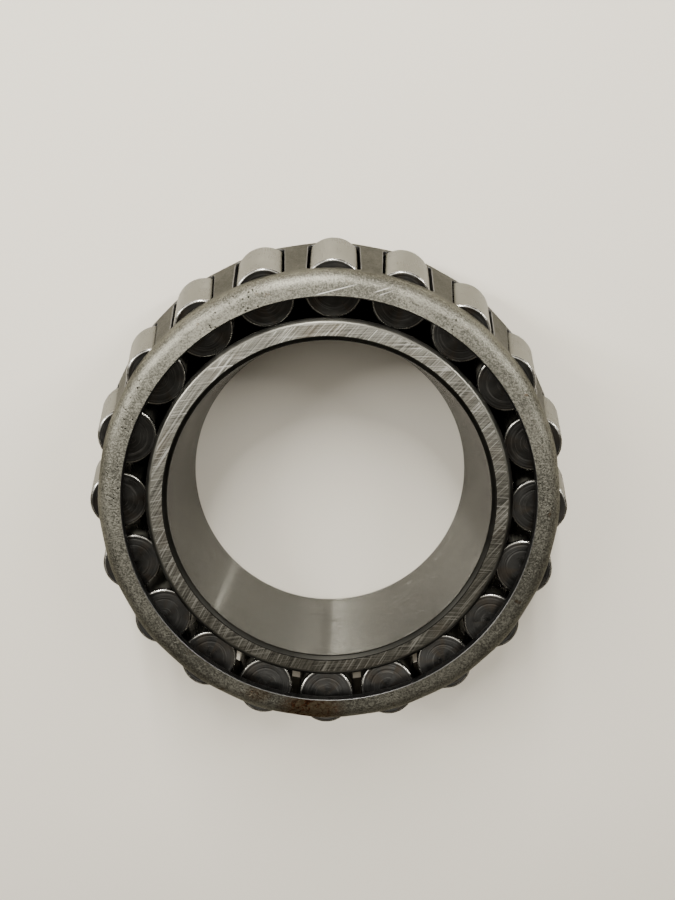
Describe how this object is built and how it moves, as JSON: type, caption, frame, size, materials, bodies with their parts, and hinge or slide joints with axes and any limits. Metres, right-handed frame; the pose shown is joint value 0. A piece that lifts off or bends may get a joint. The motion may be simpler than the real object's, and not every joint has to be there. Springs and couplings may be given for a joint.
{
  "type": "tapered roller bearing",
  "caption": "Tapered roller bearing without its outer ring: an inner ring with tapered rollers held around it in a pressed steel cage.",
  "frame": {"origin": "centre of the inner ring's large back face, which is the plane that the part lies on", "axes": "+Z along the bearing's axis from the large end to the small end; roller_01 lies on +X"},
  "size_m": [0.253, 0.253, 0.0814],
  "materials": {
    "ring_steel": "ground hardened steel with fine scratches",
    "cage_steel": "tumbled pressed steel sheet, matte, with pits and brown spots",
    "roller_steel": "ground and honed steel, satin"
  },
  "bodies": {
    "inner_ring": {"inner_ring": "ring_steel"},
    "cage": {"cage": "cage_steel"},
    "roller_01": {"roller_01": "roller_steel"},
    "roller_02": {"roller_02": "roller_steel"},
    "roller_03": {"roller_03": "roller_steel"},
    "roller_04": {"roller_04": "roller_steel"},
    "roller_05": {"roller_05": "roller_steel"},
    "roller_06": {"roller_06": "roller_steel"},
    "roller_07": {"roller_07": "roller_steel"},
    "roller_08": {"roller_08": "roller_steel"},
    "roller_09": {"roller_09": "roller_steel"},
    "roller_10": {"roller_10": "roller_steel"},
    "roller_11": {"roller_11": "roller_steel"},
    "roller_12": {"roller_12": "roller_steel"},
    "roller_13": {"roller_13": "roller_steel"},
    "roller_14": {"roller_14": "roller_steel"},
    "roller_15": {"roller_15": "roller_steel"},
    "roller_16": {"roller_16": "roller_steel"},
    "roller_17": {"roller_17": "roller_steel"},
    "roller_18": {"roller_18": "roller_steel"},
    "roller_19": {"roller_19": "roller_steel"},
    "roller_20": {"roller_20": "roller_steel"}
  },
  "joints": [
    {"name": "cage_spin", "type": "hinge", "parent": "inner_ring", "child": "cage", "pos_m": [0, 0, 0.0442], "axis": [0, 0, 1], "continuous": true},
    {"name": "roller_01_spin", "type": "hinge", "parent": "cage", "child": "roller_01", "pos_m": [0.1055, 0, 0.0442], "axis": [-0.2453, 0, 0.9694], "continuous": true},
    {"name": "roller_02_spin", "type": "hinge", "parent": "cage", "child": "roller_02", "pos_m": [0.10034, 0.0326, 0.0442], "axis": [-0.2333, -0.0758, 0.9694], "continuous": true},
    {"name": "roller_03_spin", "type": "hinge", "parent": "cage", "child": "roller_03", "pos_m": [0.08535, 0.06201, 0.0442], "axis": [-0.1985, -0.1442, 0.9694], "continuous": true},
    {"name": "roller_04_spin", "type": "hinge", "parent": "cage", "child": "roller_04", "pos_m": [0.06201, 0.08535, 0.0442], "axis": [-0.1442, -0.1985, 0.9694], "continuous": true},
    {"name": "roller_05_spin", "type": "hinge", "parent": "cage", "child": "roller_05", "pos_m": [0.0326, 0.10034, 0.0442], "axis": [-0.0758, -0.2333, 0.9694], "continuous": true},
    {"name": "roller_06_spin", "type": "hinge", "parent": "cage", "child": "roller_06", "pos_m": [0, 0.1055, 0.0442], "axis": [0, -0.2453, 0.9694], "continuous": true},
    {"name": "roller_07_spin", "type": "hinge", "parent": "cage", "child": "roller_07", "pos_m": [-0.0326, 0.10034, 0.0442], "axis": [0.0758, -0.2333, 0.9694], "continuous": true},
    {"name": "roller_08_spin", "type": "hinge", "parent": "cage", "child": "roller_08", "pos_m": [-0.06201, 0.08535, 0.0442], "axis": [0.1442, -0.1985, 0.9694], "continuous": true},
    {"name": "roller_09_spin", "type": "hinge", "parent": "cage", "child": "roller_09", "pos_m": [-0.08535, 0.06201, 0.0442], "axis": [0.1985, -0.1442, 0.9694], "continuous": true},
    {"name": "roller_10_spin", "type": "hinge", "parent": "cage", "child": "roller_10", "pos_m": [-0.10034, 0.0326, 0.0442], "axis": [0.2333, -0.0758, 0.9694], "continuous": true},
    {"name": "roller_11_spin", "type": "hinge", "parent": "cage", "child": "roller_11", "pos_m": [-0.1055, 0, 0.0442], "axis": [0.2453, 0, 0.9694], "continuous": true},
    {"name": "roller_12_spin", "type": "hinge", "parent": "cage", "child": "roller_12", "pos_m": [-0.10034, -0.0326, 0.0442], "axis": [0.2333, 0.0758, 0.9694], "continuous": true},
    {"name": "roller_13_spin", "type": "hinge", "parent": "cage", "child": "roller_13", "pos_m": [-0.08535, -0.06201, 0.0442], "axis": [0.1985, 0.1442, 0.9694], "continuous": true},
    {"name": "roller_14_spin", "type": "hinge", "parent": "cage", "child": "roller_14", "pos_m": [-0.06201, -0.08535, 0.0442], "axis": [0.1442, 0.1985, 0.9694], "continuous": true},
    {"name": "roller_15_spin", "type": "hinge", "parent": "cage", "child": "roller_15", "pos_m": [-0.0326, -0.10034, 0.0442], "axis": [0.0758, 0.2333, 0.9694], "continuous": true},
    {"name": "roller_16_spin", "type": "hinge", "parent": "cage", "child": "roller_16", "pos_m": [0, -0.1055, 0.0442], "axis": [0, 0.2453, 0.9694], "continuous": true},
    {"name": "roller_17_spin", "type": "hinge", "parent": "cage", "child": "roller_17", "pos_m": [0.0326, -0.10034, 0.0442], "axis": [-0.0758, 0.2333, 0.9694], "continuous": true},
    {"name": "roller_18_spin", "type": "hinge", "parent": "cage", "child": "roller_18", "pos_m": [0.06201, -0.08535, 0.0442], "axis": [-0.1442, 0.1985, 0.9694], "continuous": true},
    {"name": "roller_19_spin", "type": "hinge", "parent": "cage", "child": "roller_19", "pos_m": [0.08535, -0.06201, 0.0442], "axis": [-0.1985, 0.1442, 0.9694], "continuous": true},
    {"name": "roller_20_spin", "type": "hinge", "parent": "cage", "child": "roller_20", "pos_m": [0.10034, -0.0326, 0.0442], "axis": [-0.2333, 0.0758, 0.9694], "continuous": true}
  ],
  "couplings": [
    {"joint": "roller_01_spin", "follows": "cage_spin", "ratio": 6.4253},
    {"joint": "roller_02_spin", "follows": "cage_spin", "ratio": 6.4253},
    {"joint": "roller_03_spin", "follows": "cage_spin", "ratio": 6.4253},
    {"joint": "roller_04_spin", "follows": "cage_spin", "ratio": 6.4253},
    {"joint": "roller_05_spin", "follows": "cage_spin", "ratio": 6.4253},
    {"joint": "roller_06_spin", "follows": "cage_spin", "ratio": 6.4253},
    {"joint": "roller_07_spin", "follows": "cage_spin", "ratio": 6.4253},
    {"joint": "roller_08_spin", "follows": "cage_spin", "ratio": 6.4253},
    {"joint": "roller_09_spin", "follows": "cage_spin", "ratio": 6.4253},
    {"joint": "roller_10_spin", "follows": "cage_spin", "ratio": 6.4253},
    {"joint": "roller_11_spin", "follows": "cage_spin", "ratio": 6.4253},
    {"joint": "roller_12_spin", "follows": "cage_spin", "ratio": 6.4253},
    {"joint": "roller_13_spin", "follows": "cage_spin", "ratio": 6.4253},
    {"joint": "roller_14_spin", "follows": "cage_spin", "ratio": 6.4253},
    {"joint": "roller_15_spin", "follows": "cage_spin", "ratio": 6.4253},
    {"joint": "roller_16_spin", "follows": "cage_spin", "ratio": 6.4253},
    {"joint": "roller_17_spin", "follows": "cage_spin", "ratio": 6.4253},
    {"joint": "roller_18_spin", "follows": "cage_spin", "ratio": 6.4253},
    {"joint": "roller_19_spin", "follows": "cage_spin", "ratio": 6.4253},
    {"joint": "roller_20_spin", "follows": "cage_spin", "ratio": 6.4253}
  ]
}
